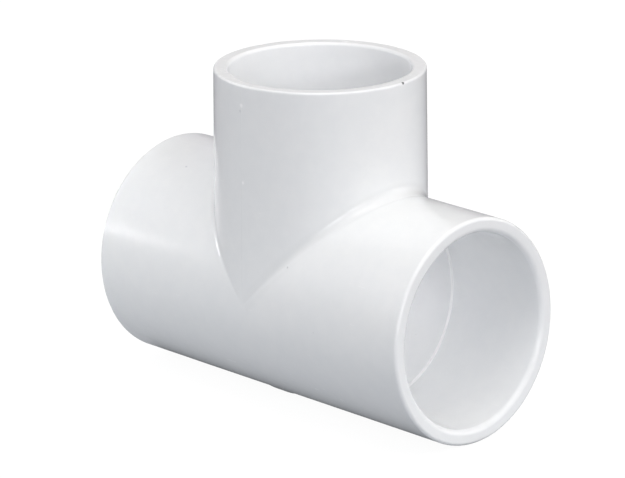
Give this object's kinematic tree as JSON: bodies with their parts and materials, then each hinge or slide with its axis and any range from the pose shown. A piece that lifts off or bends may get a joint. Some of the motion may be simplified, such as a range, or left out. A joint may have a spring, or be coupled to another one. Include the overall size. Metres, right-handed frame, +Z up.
{
  "type": "pvc tee fitting",
  "caption": "Equal slip pipe tee in rigid white PVC: a straight run with a same-diameter branch from its middle, and a plain solvent-weld socket in every end.",
  "frame": {"origin": "on the underside of the run, straight below the crossing of the run axis and the branch axis; the crossing itself is at z = 34.925 mm", "axes": "+X along the run, from the middle to the right-hand run socket; +Z up the branch; Y across the fitting, which is its narrowest way"},
  "size_m": [0.141, 0.0698, 0.1054],
  "materials": {
    "white_pvc": "gloss"
  },
  "bodies": {
    "root": {"tee_body": "white_pvc"}
  },
  "joints": []
}
